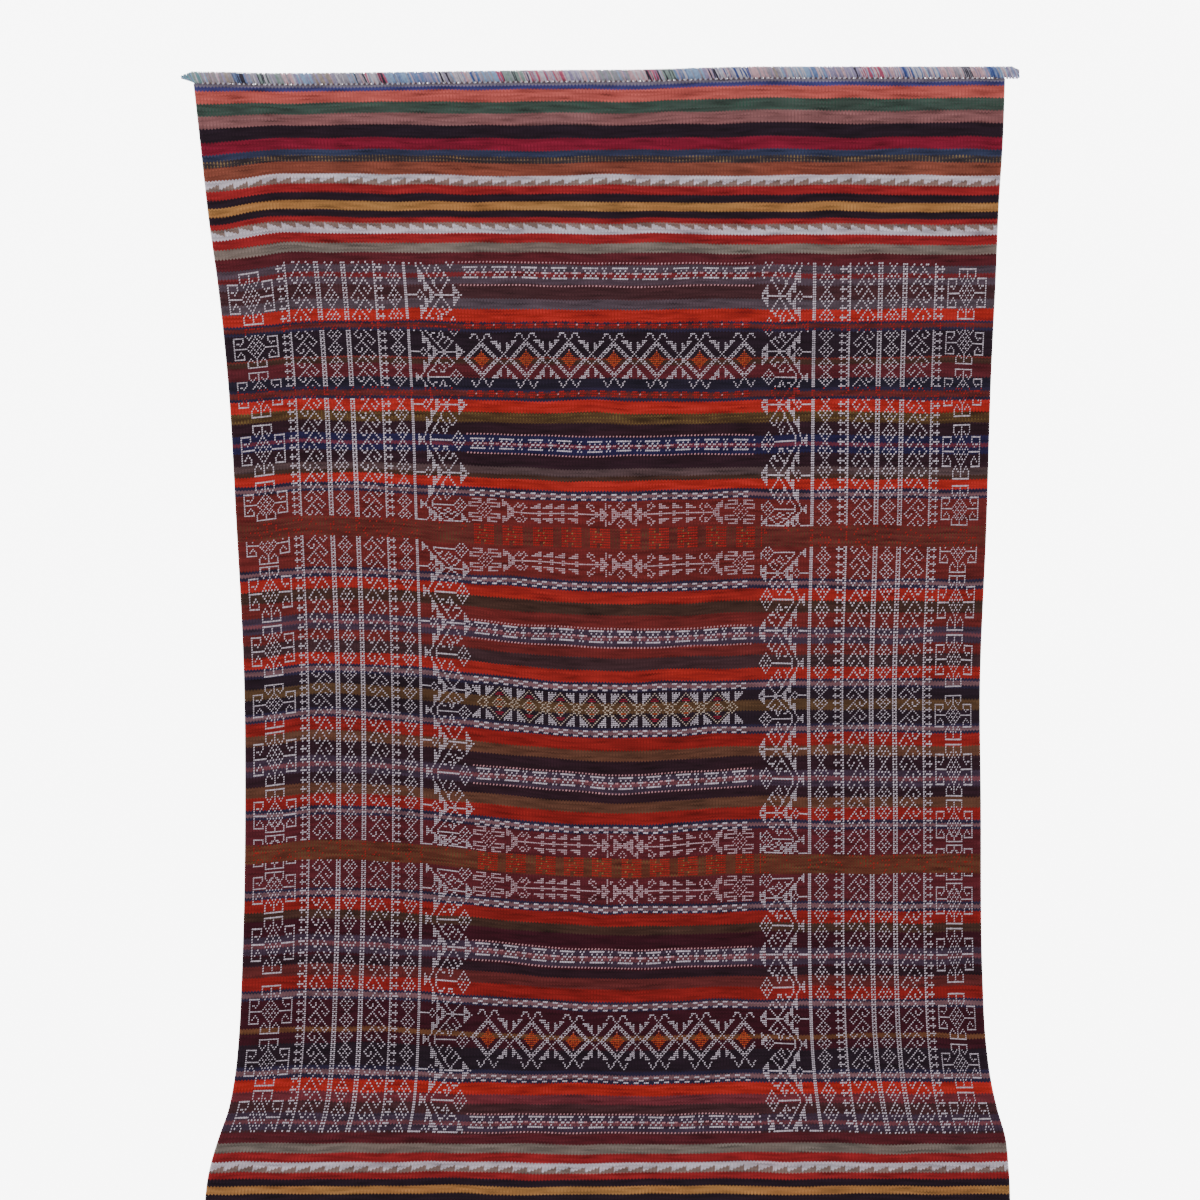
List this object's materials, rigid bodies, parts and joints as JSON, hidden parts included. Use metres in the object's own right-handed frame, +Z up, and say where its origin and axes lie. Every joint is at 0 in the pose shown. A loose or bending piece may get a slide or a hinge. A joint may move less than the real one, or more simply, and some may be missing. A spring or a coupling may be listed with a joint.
{
  "type": "soumak rug",
  "caption": "Flat-woven wool rug lying flat, with a woven-in banded pattern of wrapped yarn, firm selvedges and an oblique plait of warp ends along each end.",
  "frame": {"origin": "centre of the rug's outline seen from above, on the floor that it lies on", "axes": "+Z up out of the floor, +Y along the warp to the first end, which is the picture's top, +X across the rug to the picture's right"},
  "size_m": [1.806, 2.7076, 0.009],
  "materials": {
    "woven_wool": "matte hand-spun wool in red, near-black, maroon and brown stripes with wrapped motifs in off-white, pink and red",
    "plaited_warp": "matte plaited wool in pale grey with light blue, pink, red and black strands"
  },
  "bodies": {
    "root": {"rug_cloth": "woven_wool", "end_plait_first": "plaited_warp", "end_plait_second": "plaited_warp"}
  },
  "joints": []
}
